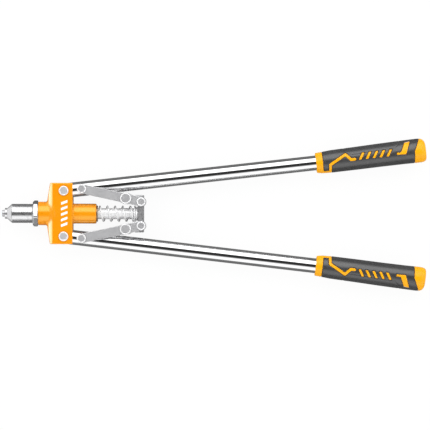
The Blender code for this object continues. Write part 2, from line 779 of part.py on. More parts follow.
def grown(outline, margin):
    """An outline moved outwards by margin, with mitred corners."""
    points = [Vector(p) for p in outline]
    following = points[1:] + points[:1]
    area = sum(p.x * q.y - q.x * p.y for p, q in zip(points, following))
    reach = math.copysign(margin, area)
    made = []
    for i, point in enumerate(points):
        before = (point - points[i - 1]).normalized()
        after = (following[i] - point).normalized()
        first = Vector((before.y, -before.x))
        second = Vector((after.y, -after.x))
        mitre = (first + second).normalized()
        made.append(tuple(point + mitre * reach / max(0.4, mitre.dot(first))))
    return made


def bar_outline(number):
    middle = BAR_FIRST + BAR_PITCH * number
    low, high = BAR_MIDDLE_Y - BAR_HALF_HEIGHT, BAR_MIDDLE_Y + BAR_HALF_HEIGHT
    half = BAR_WIDTH / 2
    return [
        (middle - BAR_LEAN - half, low),
        (middle - BAR_LEAN + half, low),
        (middle + BAR_LEAN + half, high),
        (middle + BAR_LEAN - half, high),
    ]


def inlay_outlines(margin):
    """The outlines of the hard core's parts that show through the soft cover."""
    far = 20.0
    collar = box_outline(-BEYOND, GRIP_COLLAR + margin, -far, far)
    strip = box_outline(1.0, ZIGZAG[0][0] + ZIGZAG_WIDTH / 2 + margin, -far, INNER_STRIP_Y + margin)
    boundary = [(x - margin, y) for x, y in CAP_BOUNDARY]
    cap = boundary + [(GRIP_LENGTH + BEYOND, far), (GRIP_LENGTH + BEYOND, -far)]
    zigzag = stroke(ZIGZAG, ZIGZAG_WIDTH + 2 * margin, margin)
    bars = [grown(bar_outline(i), margin) for i in range(BAR_COUNT)]
    return [collar, strip, cap, zigzag, grown(FLAG, margin)] + bars


def inlay_shape(name, side, margin, arm, surface):
    """One solid through the whole grip from all the inlay outlines."""
    shape = None
    for number, outline in enumerate(inlay_outlines(margin)):
        placed = [(GRIP_FRONT + x, side * y) for x, y in outline]
        reach = GRIP_STATIONS[-1][3] * 2 + 0.2 * number
        if shape is None:
            shape = prism(name, placed, -reach, reach, arm, surface)
        else:
            boolean(shape, "UNION", prism(f"{name}_inlay_{number}", placed, -reach, reach, arm))
    return shape


def grip(side, label, arm):
    """The hard core, whose collar, stripe, marks and end cap show, and the soft cover round it."""
    core_end = GRIP_FRONT + GRIP_LENGTH - CAP_DEPTH
    core = inlay_shape(f"grip_core_{label}", side, 0.0, arm, ORANGE_PLASTIC)
    boolean(core, "INTERSECT", add(f"grip_outside_{label}", grip_mesh("grip_outside", side), arm, None))
    sleeve = [(GRIP_FRONT + EDGE, CORE_R), (core_end, CORE_R)]
    boolean(core, "UNION", turned(f"grip_sleeve_{label}", sleeve, None, arm, None))
    bore = [(GRIP_FRONT - BEYOND, CORE_BORE_R), (TUBE_END + GAP, CORE_BORE_R)]
    boolean(core, "DIFFERENCE", turned(f"grip_bore_{label}", bore, None, arm, None))
    cover = add(f"grip_cover_{label}", grip_mesh("grip_cover", side), arm, SOFT_GRIP)
    room = [(GRIP_FRONT - BEYOND, CORE_R + GAP), (core_end + 4 * BEYOND, CORE_R + GAP)]
    boolean(cover, "DIFFERENCE", turned(f"grip_room_{label}", room, None, arm, None))
    boolean(cover, "DIFFERENCE", inlay_shape(f"cover_cut_{label}", side, GAP, arm, None))


def arm_tube(label, arm):
    """The chromed tube and the steel bar pressed into its front end."""
    ends = (TUBE_FRONT, TUBE_END)
    tube = turned(
        f"arm_tube_{label}",
        [(x, TUBE_R) for x in ends],
        [(x, TUBE_BORE_R) for x in ends],
        arm,
        CHROME,
    )
    insert_outline = [(TUBE_FRONT + EDGE, INSERT_R), (INSERT_END, INSERT_R)]
    insert = turned(f"arm_insert_{label}", insert_outline, None, arm, STEEL, steps=SMALL_STEPS)
    for x, radius in ((0.0, PIVOT_PIN_R + GAP), (CRANK, PIN_R + GAP)):
        cutter = round_cutter(f"arm_hole_{label}_{x:.0f}", (x, 0.0, 0.0), radius, arm)
        boolean(tube, "DIFFERENCE", cutter)
        boolean(insert, "DIFFERENCE", cutter)


# ---------------------------------------------------------------- assembly


def main():
    head_body()
    nose()
    barrel_bush()
    pull_rod()
    jaw_case()
    jaws()
    jaw_pusher()
    crosshead()
    return_spring()
    for side, label in ((1, "right"), (-1, "left")):
        pivot_pins(side, label)
        arm = frame(f"arm_frame_{label}", (PIVOT.x, side * PIVOT.y, 0.0), side * ARM_ANGLE, TOOL)
        arm_tube(label, arm)
        link(side, label, arm)
        grip(side, label, arm)


main()
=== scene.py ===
import json
import math

import bpy
import numpy as np
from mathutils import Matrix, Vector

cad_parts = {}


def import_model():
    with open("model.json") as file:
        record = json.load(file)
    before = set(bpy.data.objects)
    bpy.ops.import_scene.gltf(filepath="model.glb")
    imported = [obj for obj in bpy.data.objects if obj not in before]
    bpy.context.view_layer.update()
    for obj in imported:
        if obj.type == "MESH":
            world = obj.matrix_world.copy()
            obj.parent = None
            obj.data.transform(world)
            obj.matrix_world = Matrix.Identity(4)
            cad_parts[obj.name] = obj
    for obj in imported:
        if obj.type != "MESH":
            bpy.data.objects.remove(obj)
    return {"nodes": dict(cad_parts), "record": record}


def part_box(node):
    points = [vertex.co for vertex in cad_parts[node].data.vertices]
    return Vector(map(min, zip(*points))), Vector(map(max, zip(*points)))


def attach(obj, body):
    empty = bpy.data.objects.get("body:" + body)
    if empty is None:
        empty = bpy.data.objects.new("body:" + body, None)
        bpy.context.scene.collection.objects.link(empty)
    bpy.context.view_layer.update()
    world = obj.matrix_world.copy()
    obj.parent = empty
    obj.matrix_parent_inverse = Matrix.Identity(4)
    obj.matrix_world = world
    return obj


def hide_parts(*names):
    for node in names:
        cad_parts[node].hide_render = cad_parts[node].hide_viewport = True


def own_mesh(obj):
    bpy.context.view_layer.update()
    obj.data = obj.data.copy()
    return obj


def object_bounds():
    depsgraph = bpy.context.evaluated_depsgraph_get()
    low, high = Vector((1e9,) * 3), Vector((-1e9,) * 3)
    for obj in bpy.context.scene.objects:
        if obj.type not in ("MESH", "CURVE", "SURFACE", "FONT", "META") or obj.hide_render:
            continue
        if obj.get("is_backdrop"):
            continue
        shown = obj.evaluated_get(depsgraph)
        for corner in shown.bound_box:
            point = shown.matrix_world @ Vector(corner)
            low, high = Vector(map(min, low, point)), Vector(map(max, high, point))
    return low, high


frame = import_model()
CAD_LOW, CAD_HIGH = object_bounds()

# Shapes are worked out in millimetres in a frame of their own: the tool's frame runs back from the nose
# tip, an arm's from its pivot along its tube with Y outwards, a link's from its front pin to its rear pin.
MM = 0.001
SIDES = ((1, "right"), (-1, "left"))


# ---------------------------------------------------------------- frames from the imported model


def middle(node):
    low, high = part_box(node)
    return np.array((low + high) / 2)


def placing(origin, along, side=1):
    """A 4x4 place with X along a direction, Z up and Y to the left, or to the right if side is -1."""
    along = np.array([along[0], along[1], 0.0])
    along /= np.linalg.norm(along)
    across = side * np.array([-along[1], along[0], 0.0])
    made = np.eye(4)
    made[:3, 0], made[:3, 1], made[:3, 2], made[:3, 3] = along, across, (0.0, 0.0, 1.0), origin
    return made


def upright(origin):
    """A 4x4 place whose X axis points up, for a pin."""
    made = np.eye(4)
    made[:3, 0], made[:3, 1], made[:3, 2], made[:3, 3] = (0, 0, 1), (1, 0, 0), (0, 1, 0), origin
    return made


NOSE = middle("nozzle")
NOSE[0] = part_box("nozzle")[0].x
TOOL = placing(NOSE, (1.0, 0.0))
ARM = {}
LINK = {}
for side, label in SIDES:
    pivot, crank, rear = (middle(f"{n}_{label}") for n in ("pivot_pin", "link_pin", "crosshead_pin"))
    ARM[label] = placing(pivot, crank - pivot, side)
    LINK[label] = placing(crank, rear - crank, side)
# Lengths in mm that both sides share.
CRANK = np.linalg.norm((crank - pivot)[:2]) / MM
LINK_LENGTH = np.linalg.norm((rear - crank)[:2]) / MM
PIVOT_X = (pivot[0] - NOSE[0]) / MM
PIVOT_Y = abs(pivot[1] - NOSE[1]) / MM
SPACER_AT = np.linalg.norm((middle("link_spacer_right") - middle("link_pin_right"))[:2]) / MM
CROSSHEAD_PIN_X = (middle("crosshead_pin_right")[0] - NOSE[0]) / MM
CROSSHEAD_PIN_Y = (middle("crosshead_pin_right")[1] - NOSE[1]) / MM
AXIS_HEIGHT = NOSE[2] / MM


def span(node):
    """A node's front and rear stations along the tool, and its half depth, in mm."""
    low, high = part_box(node)
    return (low.x - NOSE[0]) / MM, (high.x - NOSE[0]) / MM, (high.z - low.z) / 2 / MM


def half_width(node):
    """Half a node's width across the tool, in mm."""
    low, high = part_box(node)
    return (high.y - low.y) / 2 / MM


# ---------------------------------------------------------------- meshes


# The largest share of the shorter side beside it that a rounded corner may take.
CORNER_SHARE = 0.45
# A radius below this is a point on the axis.
ON_AXIS = 1e-6
# How wide a turned surface blends into a hexagon's flats.
HEX_BLEND = 0.3


def piece(name, points, faces, place, body, node, material):
    """A mesh from points in mm in a place's frame. With a body it is a visible piece that rides on it."""
    points = np.asarray(points, float) * MM
    world = points @ place[:3, :3].T + place[:3, 3]
    if np.linalg.det(place[:3, :3]) < 0:
        faces = [tuple(reversed(f)) for f in faces]
    data = bpy.data.meshes.new(name)
    data.from_pydata([tuple(p) for p in world], [], [tuple(int(i) for i in f) for f in faces])
    data.update()
    data.polygons.foreach_set("use_smooth", [True] * len(data.polygons))
    made = bpy.data.objects.new(name, data)
    bpy.context.scene.collection.objects.link(made)
    if body:
        data.materials.append(material)
        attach(made, body)
        if node:
            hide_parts(node)
    return made


def soften(outline, radius, steps=5, support=0.2):
    """Rounds an outline's corners and puts a point beside each, so that the shading stays local.

    A point may carry its own radius as a third number. Points on the axis stay as they are."""
    corners = [np.array(p[:2], float) for p in outline]
    count = len(corners)
    closed = min(p[1] for p in outline) > 0
    made = []
    for i, corner in enumerate(corners):
        if corner[1] <= 0 or (not closed and i in (0, count - 1)):
            made.append(corner)
            continue
        before, after = corners[i - 1] - corner, corners[(i + 1) % count] - corner
        shortest = min(np.linalg.norm(before), np.linalg.norm(after))
        own = outline[i][2] if len(outline[i]) > 2 else radius
        reach = min(own, CORNER_SHARE * shortest)
        start = corner + before / np.linalg.norm(before) * reach
        stop = corner + after / np.linalg.norm(after) * reach
        for k in range(steps + 1):
            t = k / steps
            made.append((1 - t) ** 2 * start + 2 * t * (1 - t) * corner + t * t * stop)
    smooth = []
    total = len(made)
    for i, point in enumerate(made):
        smooth.append(point)
        following = made[(i + 1) % total]
        if i == total - 1 and not closed:
            break
        length = np.linalg.norm(following - point)
        if length > 4 * support:
            smooth.append(point + (following - point) / length * support)
            smooth.append(following - (following - point) / length * support)
    return smooth


def divided(outline, stations):
    """A closed outline with a point added wherever it passes one of the stations."""
    made = []
    for here, following in zip(outline, outline[1:] + outline[:1]):
        made.append(here)
        between = [s for s in stations if min(here[0], following[0]) < s < max(here[0], following[0])]
        for station in sorted(between, reverse=bool(following[0] < here[0])):
            share = (station - here[0]) / (following[0] - here[0])
            made.append(here + share * (following - here))
    return made


def lathe(outline, count=96, limit=None):
    """Turns an outline of (station, radius) about X: the outside from front to rear, then any bore.

    limit is the largest radius at each angle, which cuts flats."""
    angles = np.arange(count) * math.tau / count
    points = []
    rings = []
    for station, radius in outline:
        first = len(points)
        if radius <= ON_AXIS:
            points.append((station, 0.0, 0.0))
            rings.append([first] * count)
            continue
        radii = np.full(count, radius)
        if limit is not None:
            near = np.maximum(HEX_BLEND - np.abs(radii - limit), 0.0)
            radii = np.minimum(radii, limit) - near ** 2 / (4 * HEX_BLEND)
        points += [(station, r * math.cos(a), r * math.sin(a)) for r, a in zip(radii, angles)]
        rings.append(list(range(first, first + count)))
    closed = min(r for _, r in outline) > ON_AXIS
    pairs = list(zip(rings, rings[1:])) + ([(rings[-1], rings[0])] if closed else [])
    faces = []
    for first, second in pairs:
        for i in range(count):
            j = (i + 1) % count
            corners = [first[i], first[j], second[j], second[i]]
            face = [c for k, c in enumerate(corners) if c != corners[k - 1]]
            if len(face) > 2:
                faces.append(face)
    return points, faces


def hexagon(across, corner_cut, turn=0.0, count=144):
    """The polar radius of a hexagon, its corners cut to a circle."""
    angles = np.arange(count) * math.tau / count - turn
    sixth = math.radians(60.0)
    from_flat = np.abs((angles + sixth / 2) % sixth - sixth / 2)
    return np.minimum(across / 2 / np.cos(from_flat), across / math.sqrt(3) - corner_cut)


def both(first, second, radius):
    """Two fields' overlap, its edge rounded. A field is negative inside."""
    u = np.maximum(first + radius, 0.0)
    v = np.maximum(second + radius, 0.0)
    return np.minimum(-radius, np.maximum(first, second)) + np.hypot(u, v)


def either(first, second, radius):
    """Two fields joined, with a fillet."""
    u = np.maximum(radius - first, 0.0)
    v = np.maximum(radius - second, 0.0)
    return np.maximum(radius, np.minimum(first, second)) - np.hypot(u, v)


def carve(field, low, high, pitch):
    """The surface where a field is zero, as quads between cells that it crosses, moved onto it."""
    counts = [int(math.ceil((h - l) / pitch)) + 1 for l, h in zip(low, high)]
    axes = [l + pitch * np.arange(n) for l, n in zip(low, counts)]
    values = np.array(np.broadcast_to(field(*np.ix_(*axes)), counts), float)
    shape = tuple(n - 1 for n in counts)
    size = int(np.prod(shape))
    hits = np.zeros(size)
    sums = np.zeros((3, size))
    quads = []
    for axis in range(3):
        near = values.take(range(counts[axis] - 1), axis)
        far = values.take(range(1, counts[axis]), axis)
        crossed = (near < 0) != (far < 0)
        index = np.argwhere(crossed)
        start, stop = near[crossed], far[crossed]
        point = index.astype(float)
        point[:, axis] += start / (start - stop)
        u, v = (axis + 1) % 3, (axis + 2) % 3
        around = []
        for du, dv in ((0, 0), (1, 0), (1, 1), (0, 1)):
            cell = index.copy()
            cell[:, u] -= du
            cell[:, v] -= dv
            flat = np.ravel_multi_index(cell.T, shape)
            around.append(flat)
            hits += np.bincount(flat, minlength=size)
            for k in range(3):
                sums[k] += np.bincount(flat, weights=point[:, k], minlength=size)
        quad = np.stack(around, 1)
        outward = start < 0
        quads += [quad[outward], quad[~outward][:, ::-1]]
    quads = np.concatenate(quads)
    used, faces = np.unique(quads, return_inverse=True)
    faces = faces.reshape(quads.shape)
    points = (sums[:, used] / hits[used]).T * pitch + np.array(low)
    step, furthest = 0.1 * pitch, 0.5 * pitch
    rounds, least_slope = 4, 0.1
    for _ in range(rounds):
        value = field(*points.T)
        slope = np.zeros_like(points)
        for k in range(3):
            ahead, behind = points.copy(), points.copy()
            ahead[:, k] += step
            behind[:, k] -= step
            slope[:, k] = (field(*ahead.T) - field(*behind.T)) / (2 * step)
        move = -(value / np.maximum((slope ** 2).sum(1), least_slope))[:, None] * slope
        length = np.linalg.norm(move, axis=1)
        move *= np.minimum(1.0, furthest / np.maximum(length, 1e-9))[:, None]
        points += move
    return points, faces


def line_distance(x, y, line):
    """Distance from an open line in a plane."""
    nearest = 1e9
    for (ax, ay), (bx, by) in zip(line, line[1:]):
        ex, ey = bx - ax, by - ay
        wx, wy = x - ax, y - ay
        t = np.clip((wx * ex + wy * ey) / (ex * ex + ey * ey), 0.0, 1.0)
        nearest = np.minimum(nearest, np.hypot(wx - t * ex, wy - t * ey))
    return nearest


def outline_distance(x, y, outline):
    """Signed distance from a closed outline in a plane, negative inside."""
    closed = outline + outline[:1]
    inside = False
    for (ax, ay), (bx, by) in zip(closed, closed[1:]):
        if by != ay:
            crossing = x - ax < (bx - ax) * (y - ay) / (by - ay)
            inside = inside ^ (((ay <= y) != (by <= y)) & crossing)
    nearest = line_distance(x, y, closed)
    return np.where(inside, -nearest, nearest)


# ---------------------------------------------------------------- materials


def rgb(red, green, blue):
    return (red, green, blue, 1.0)


class Nodes:
    """A small helper that adds and joins a node tree's nodes."""

    def __init__(self, tree):
        self.tree = tree

    def add(self, kind, inputs=None, **settings):
        node = self.tree.nodes.new(kind)
        for key, value in settings.items():
            setattr(node, key, value)
        for key, value in (inputs or {}).items():
            self.put(node, key, value)
        return node

    def put(self, node, key, value):
        if isinstance(value, bpy.types.NodeSocket):
            self.tree.links.new(value, node.inputs[key])
        else:
            node.inputs[key].default_value = value

    def math(self, operation, first, second=0.0):
        return self.add("ShaderNodeMath", {0: first, 1: second}, operation=operation).outputs[0]

    def noise(self, scale, detail, stretch=(1.0, 1.0, 1.0), turn=0.0, rough=0.55):
        """Noise in the piece's own space, per metre, stretched and turned about Z."""
        where = self.add("ShaderNodeTexCoord").outputs["Object"]
        mapping = self.add(
            "ShaderNodeMapping",
            {"Vector": where, "Rotation": (0.0, 0.0, turn), "Scale": stretch},
        )
        inputs = {"Vector": mapping.outputs[0], "Scale": scale, "Detail": detail, "Roughness": rough}
        return self.add("ShaderNodeTexNoise", inputs).outputs["Fac"]

    def spread(self, value, low, high, start=0.3, stop=0.7):
        """low up to start, high from stop on, and even between; the usual range is a noise's."""
        inputs = {0: value, 1: start, 2: stop, 3: low, 4: high}
        return self.add("ShaderNodeMapRange", inputs).outputs[0]

    def blend(self, share, first, second):
        node = self.add("ShaderNodeMix", data_type="RGBA")
        self.put(node, 0, share)
        self.put(node, 6, first)
        self.put(node, 7, second)
        return node.outputs[2]

    def cloudy(self, scale, detail, dark, light):
        """A colour that drifts between two others."""
        share = self.spread(self.noise(scale, detail), 0.0, 1.0)
        return self.blend(share, rgb(*dark), rgb(*light))


def surface(name, **fixed):
    """A new material with a Principled shader; fixed sets the shader's own sockets."""
    made = bpy.data.materials.new(name)
    made.use_nodes = True
    tree = made.node_tree
    tree.nodes.clear()
    nodes = Nodes(tree)
    shader = nodes.add("ShaderNodeBsdfPrincipled")
    for key, value in fixed.items():
        nodes.put(shader, key.replace("_", " "), value)
    output = nodes.add("ShaderNodeOutputMaterial")
    tree.links.new(shader.outputs[0], output.inputs["Surface"])
    return made, nodes, shader


def bump(nodes, shader, height, distance, strength=1.0):
    inputs = {"Height": height, "Distance": distance, "Strength": strength}
    nodes.put(shader, "Normal", nodes.add("ShaderNodeBump", inputs).outputs[0])


def metal(name, dark, light, rough, grain, stretch=(1.0, 1.0, 1.0), turn=0.0, depth=0.0, metallic=1.0):
    """A bare or plated metal: cloudy colour, uneven roughness and a fine grain."""
    made, nodes, shader = surface(name, Metallic=metallic)
    nodes.put(shader, "Base Color", nodes.cloudy(90.0, 5.0, dark, light))
    lines = nodes.noise(grain, 3.0, stretch, turn)
    nodes.put(shader, "Roughness", nodes.spread(lines, rough[0], rough[1]))
    if depth:
        bump(nodes, shader, lines, depth)
    return made


# The upward part of the normal where a rim passes into a flat face, and into an upright side.
RIM_TO_FACE = (0.88, 0.97)
SIDE_TO_RIM = (0.25, 0.5)
# The colour and metallic of the painted highlight on sloping rims.
RIM_HIGHLIGHT, RIM_HIGHLIGHT_METALLIC = (0.97, 0.97, 0.975), 0.1


def rimmed(name, dark, light, rough, grain, depth, metallic):
    """A plated metal whose sloping rims and edges carry a painted highlight: near-white colour with little
    metallic.
    """
    made, nodes, shader = surface(name)
    flat = nodes.cloudy(90.0, 5.0, dark, light)
    normal = nodes.add("ShaderNodeNewGeometry").outputs["Normal"]
    facing = nodes.math("ABSOLUTE", nodes.add("ShaderNodeSeparateXYZ", {0: normal}).outputs[2])
    highlight_off_face = nodes.spread(facing, 1.0, 0.0, *RIM_TO_FACE)
    rim = nodes.math("MULTIPLY", highlight_off_face, nodes.spread(facing, 0.0, 1.0, *SIDE_TO_RIM))
    # Painted highlight: rims between the flat face and the upright side turn near white.
    nodes.put(shader, "Base Color", nodes.blend(rim, flat, rgb(*RIM_HIGHLIGHT)))
    nodes.put(shader, "Metallic", nodes.spread(rim, metallic, RIM_HIGHLIGHT_METALLIC, 0.0, 1.0))
    lines = nodes.noise(grain, 3.0)
    nodes.put(shader, "Roughness", nodes.spread(lines, rough[0], rough[1]))
    bump(nodes, shader, lines, depth)
    return made


def painted(name):
    """Sprayed orange paint with slight orange peel, and a painted highlight, pale to near white, on the
    front's sloped edges.
    """
    made, nodes, shader = surface(
        name,
        IOR=2.2,
        Specular_Tint=rgb(1.0, 0.92, 0.30),
        Coat_Weight=0.3,
        Coat_Roughness=0.10,
    )
    body = nodes.cloudy(55.0, 4.0, (0.88, 0.288, 0.001), (0.92, 0.306, 0.001))
    where = nodes.add("ShaderNodeTexCoord").outputs["Object"]
    station = nodes.add("ShaderNodeSeparateXYZ", {0: where}).outputs[0]
    low = NOSE[0] + (BLOCK_FACE_FRONT - BLOCK_SLOPE) * MM
    high = NOSE[0] + BLOCK_FACE_FRONT * MM
    highlight_across_slope = nodes.spread(station, 0.0, 1.0, low, high)
    # Painted highlight colour: near white at the slope's front, fading to pale orange where it meets the
    # top face.
    pale = nodes.blend(highlight_across_slope, rgb(1.0, 0.90, 0.70), rgb(0.98, 0.55, 0.12))
    normal = nodes.add("ShaderNodeNewGeometry").outputs["Normal"]
    facing = nodes.add("ShaderNodeSeparateXYZ", {0: normal})
    # A painted highlight goes where the slope faces the front and up or down; the collar ahead of it, whose
    # sides do too, stays orange.
    highlight_toward_front = nodes.spread(facing.outputs[0], 1.0, 0.0, -0.62, -0.35)
    highlight_tilt = nodes.spread(nodes.math("ABSOLUTE", facing.outputs[2]), 0.0, 1.0, 0.35, 0.6)
    edge = nodes.math("MULTIPLY", highlight_toward_front, highlight_tilt)
    fade = 0.5 * MM
    highlight_behind_collar = nodes.spread(station, 0.0, 1.0, low - fade, low + fade)
    edge = nodes.math("MULTIPLY", edge, highlight_behind_collar)
    # The painted highlight is blended into the paint's colour wherever the mask is set.
    nodes.put(shader, "Base Color", nodes.blend(edge, body, pale))
    nodes.put(shader, "Roughness", nodes.spread(nodes.noise(130.0, 3.0), 0.20, 0.30))
    bump(nodes, shader, nodes.noise(900.0, 2.0), 0.00002, 0.6)
    return made


def moulded(name, dark, light, rough, grain, depth, gloss):
    """A moulded plastic or rubber: faint mottling and a fine sparked grain."""
    made, nodes, shader = surface(name, Specular_IOR_Level=gloss)
    nodes.put(shader, "Base Color", nodes.cloudy(60.0, 4.0, dark, light))
    nodes.put(shader, "Roughness", nodes.spread(nodes.noise(220.0, 3.0), rough[0], rough[1]))
    bump(nodes, shader, nodes.noise(grain, 3.0, rough=0.7), depth)
    return made


# Where the head's top face starts behind its sloped front edge, how far the slope runs, and how far
# the face is from the tool's axis.
BLOCK_FACE_FRONT = 51.4
BLOCK_SLOPE = 4.0
FACE_HEIGHT = 11.9

MATERIALS = {
    "orange_paint": painted("orange_paint_and_slope_highlight_look"),
    "satin_chrome": metal("satin_chrome_look", (0.80, 0.80, 0.81), (0.86, 0.86, 0.87), (0.26, 0.31), 400.0),
    "rod": metal("rod_look", (0.92, 0.92, 0.925), (0.97, 0.97, 0.975), (0.40, 0.50), 500.0, metallic=0.3),
    "crosshead": metal(
        "crosshead_look", (0.60, 0.60, 0.61), (0.68, 0.68, 0.69), (0.36, 0.48), 700.0, depth=0.000012
    ),
    "pin_face": rimmed(
        "pin_face_look", (0.66, 0.66, 0.68), (0.74, 0.74, 0.76), (0.44, 0.54), 900.0, 0.00001, 0.75
    ),
    "nut_plating": metal(
        "nut_plating_look", (0.70, 0.71, 0.72), (0.80, 0.80, 0.81), (0.16, 0.26), 500.0, depth=0.00001
    ),
    "link_face": metal(
        "link_look",
        (0.68, 0.68, 0.695),
        (0.77, 0.77, 0.78),
        (0.38, 0.48),
        700.0,
        depth=0.000012,
        metallic=0.8,
    ),
    "zinc_plate": rimmed(
        "zinc_plate_look", (0.64, 0.64, 0.655), (0.72, 0.72, 0.73), (0.38, 0.48), 700.0, 0.000012, 0.80
    ),
    "hard_steel": metal(
        "hard_steel_look", (0.40, 0.40, 0.41), (0.52, 0.52, 0.53), (0.20, 0.32), 600.0, depth=0.000008
    ),
    "spring_steel": metal(
        "spring_steel_look", (0.90, 0.905, 0.91), (0.96, 0.96, 0.965), (0.35, 0.45), 500.0, metallic=0.4
    ),
    "bush_bronze": metal(
        "bush_bronze_look", (0.30, 0.20, 0.12), (0.42, 0.29, 0.18), (0.28, 0.40), 500.0, depth=0.000008
    ),
    "orange_plastic": moulded(
        "orange_plastic_look",
        (0.88, 0.385, 0.003),
        (0.92, 0.410, 0.004),
        (0.24, 0.32),
        1500.0,
        0.00001,
        0.3,
    ),
    "soft_grip": moulded(
        "soft_grip_look", (0.034, 0.034, 0.035), (0.046, 0.046, 0.047), (0.27, 0.35), 2200.0, 0.00002, 1.0
    ),
}
for _, label in SIDES:
    along = math.atan2(ARM[label][1, 0], ARM[label][0, 0])
    MATERIALS[f"chrome_{label}"] = metal(
        f"chrome_tube_{label}",
        (0.88, 0.885, 0.89),
        (0.93, 0.93, 0.935),
        (0.05, 0.10),
        500.0,
        stretch=(0.02, 1.0, 1.0),
        turn=-along,
    )
# Pieces in these finishes are left out of what polished surfaces reflect.
UNREFLECTED = ("orange_paint", "orange_plastic")


def add(name, shape, place, body, node, slot, material=None):
    """A visible piece with its slot's material, or with the material that is named."""
    points, faces = shape
    made = piece(name, points, faces, place, body, node, MATERIALS[material or slot])
    if slot in UNREFLECTED:
        made.visible_glossy = False
    return made


# ---------------------------------------------------------------- nose


def nose():
    """The nozzle, the sleeve with its cone and its groove, and the sleeve's lock nut."""
    front, rear, radius = span("nozzle")
    hex_end, shank_end, tail_front = 2.4, 9.2, 9.6
    shank, tail, bore = 3.5, 2.8, 2.05
    outline = [
        (front, radius - 0.35),
        (front + 0.35, radius),
        (hex_end, radius),
        (hex_end, shank),
        (shank_end, shank),
        (tail_front, tail),
        (rear, tail),
        (rear, bore),
        (front + 0.8, bore),
        (front, bore + 0.6),
    ]
    across = 2 * half_width("nozzle")
    flats = 0.9
    limit = hexagon(min(across, 2 * radius) * flats, 0.15)
    shape = lathe(soften(outline, 0.18, 3, 0.06), 144, limit)
    add("nozzle_tip", shape, TOOL, "head", "nozzle", "hard_steel")

    front, rear, radius = span("nose_sleeve")
    shank, bore, thread = 8.9, 7.3, 3.8
    boss, boss_end = 5.4, 5.1
    cone_end, bore_front, thread_end = 9.8, 9.8, 8.2
    groove_front, groove_rear, groove = 26.1, 26.7, 0.3
    shoulder = 30.7
    outline = [
        (front, thread + 1.0),
        (front, boss, 0.4),
        (boss_end, boss, 0.4),
        (cone_end, radius, 0.8),
        (groove_front, radius, 0.12),
        (groove_front, radius - groove, 0.12),
        (groove_rear, radius - groove, 0.12),
        (groove_rear, radius, 0.12),
        (shoulder, radius, 0.45),
        (shoulder, shank, 0.2),
        (rear, shank),
        (rear, bore),
        (bore_front, bore),
        (thread_end, thread),
        (front + 1.0, thread),
        (front, thread + 0.6),
    ]
    shape = lathe(soften(outline, 0.25), 128)
    add("nose_sleeve_barrel", shape, TOOL, "head", "nose_sleeve", "chrome", "satin_chrome")

    front, rear, _ = span("sleeve_lock_nut")
    across, turn = 24.0, math.radians(15.0)
    corner = across / math.sqrt(3)
    outline = [
        (front, corner - 2.1, 0.3),
        (front + 1.5, corner, 0.3),
        (rear - 0.6, corner, 0.3),
        (rear, corner - 0.7, 0.3),
        (rear, shank + 0.3),
        (front, shank + 0.3),
    ]
    shape = lathe(soften(outline, 0.3), 144, hexagon(across, 0.35, turn))
    add("lock_nut", shape, TOOL, "head", "sleeve_lock_nut", "nut_plating")


# ---------------------------------------------------------------- head body


def head_field(x, y, z):
    """The casting: a block with a sloped front edge, a collar, a barrel, two arm slots and the bores."""
    front, rear, _ = span("head_body")
    across, depth = np.abs(y), np.abs(z)
    radial = np.hypot(y, z)
    edge = 1.1
    block_rear = 71.7
    width = half_width("head_body")
    half_depth = FACE_HEIGHT
    shoulder, end_front, middle_front = 12.9, 48.7, 45.6
    run, rise = width - shoulder, end_front - middle_front
    block = both(x - block_rear, across - width, edge)
    block = both(block, middle_front - x, 0.8)
    slanted = (rise * (across - shoulder) - run * (x - middle_front)) / math.hypot(run, rise)
    block = both(block, slanted, 0.8)
    slope = (BLOCK_FACE_FRONT - x + depth - half_depth) / math.sqrt(2)
    block = both(block, both(slope, depth - half_depth, 0.5), edge)
    collar_r, barrel_r = 11.9, 10.1
    collar = both(radial - collar_r, front - x, 0.7)
    collar = both(collar, x - BLOCK_FACE_FRONT - 1.0, 0.5)
    barrel = both(radial - barrel_r, x - rear, 1.0)
    barrel = both(barrel, block_rear - 12.0 - x, 0.5)
    body = either(block, collar, 2.6)
    body = either(body, barrel, 1.6)
    slot_inner, slot_front, slot_depth = 12.6, 51.2, 7.8
    slot = both(slot_inner - across, slot_front - x, 1.0)
    slot = both(slot, depth - slot_depth, 0.8)
    body = both(body, -slot, 0.5)
    pivot_hole_r = 3.3
    hole = np.hypot(x - PIVOT_X, across - PIVOT_Y) - pivot_hole_r
    body = both(body, -hole, 0.35)
    # Bores from the front for the sleeve, the jaw case and the rod, and one from the rear for the bush.
    seat_front, seat_r = 84.0, 8.0
    for stop, radius in ((47.0, 9.2), (57.2, 7.5), (seat_front, 5.85)):
        body = both(body, -both(radial - radius, x - stop, 0.2), 0.25)
    return both(body, -both(radial - seat_r, seat_front - x, 0.2), 0.35)


def head():
    low = (35.4, -32.0, -13.0)
    high = (96.6, 32.0, 13.0)
    shape = carve(head_field, low, high, 0.47)
    add("head_casting", shape, TOOL, "head", "head_body", "orange_paint")
    front, rear, _ = span("barrel_bush")
    body, flange, bore, flange_front = 7.7, 8.2, 5.85, 95.8
    outline = [
        (front, body),
        (flange_front, body, 0.1),
        (flange_front, flange, 0.15),
        (rear, flange, 0.3),
        (rear, bore, 0.25),
        (front, bore),
    ]
    add("rear_bush", lathe(soften(outline, 0.2), 96), TOOL, "head", "barrel_bush", "bush_bronze")


